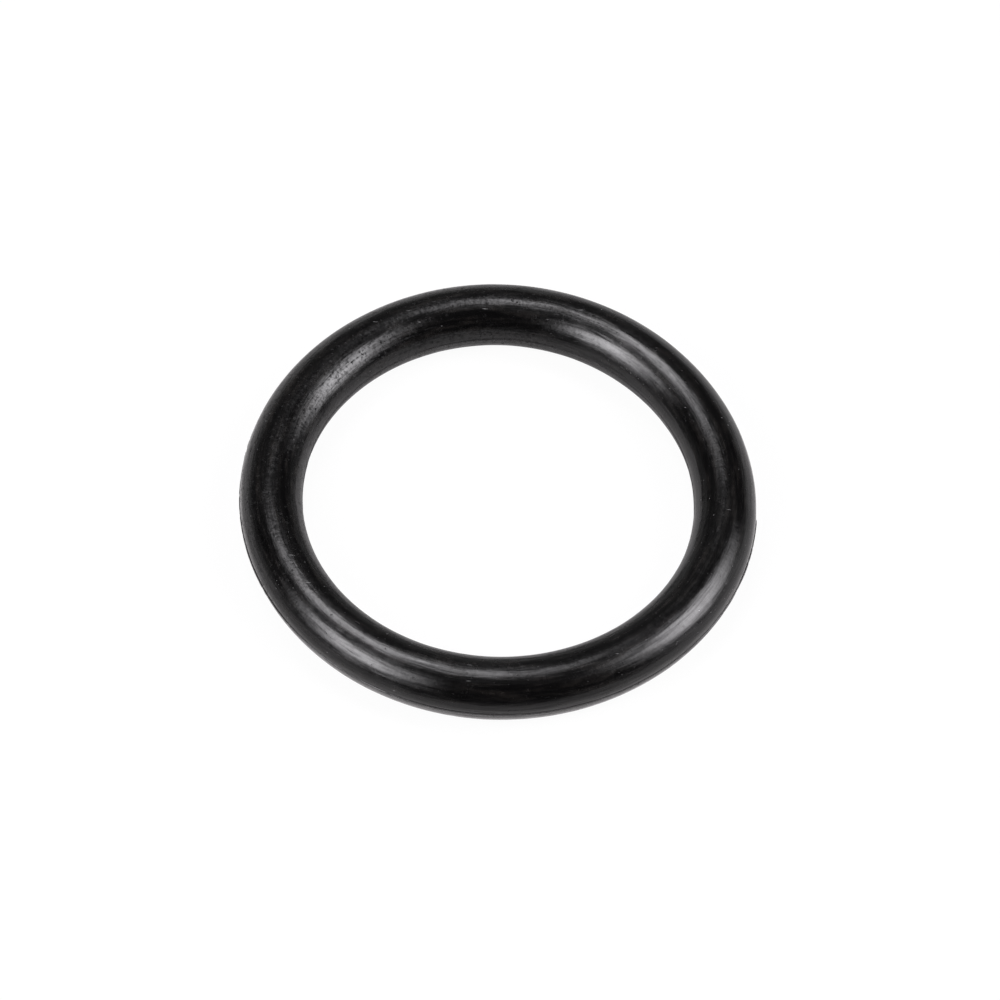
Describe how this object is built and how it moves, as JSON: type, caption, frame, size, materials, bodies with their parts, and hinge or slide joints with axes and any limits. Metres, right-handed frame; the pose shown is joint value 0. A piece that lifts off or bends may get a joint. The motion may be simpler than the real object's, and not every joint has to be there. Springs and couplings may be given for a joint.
{
  "type": "rubber o-ring",
  "caption": "Round moulded rubber ring of circular cord section with a trimmed parting line, which seals a shaft or housing groove.",
  "frame": {"origin": "centre of the ring, on the mould's parting plane", "axes": "+Z along the ring's axis, up when the ring lies flat; the ring is round, so +X and +Y are any two radii"},
  "size_m": [0.0252, 0.0252, 0.003],
  "materials": {
    "black_rubber": "moulded, satin"
  },
  "bodies": {
    "root": {"o_ring": "black_rubber"}
  },
  "joints": []
}
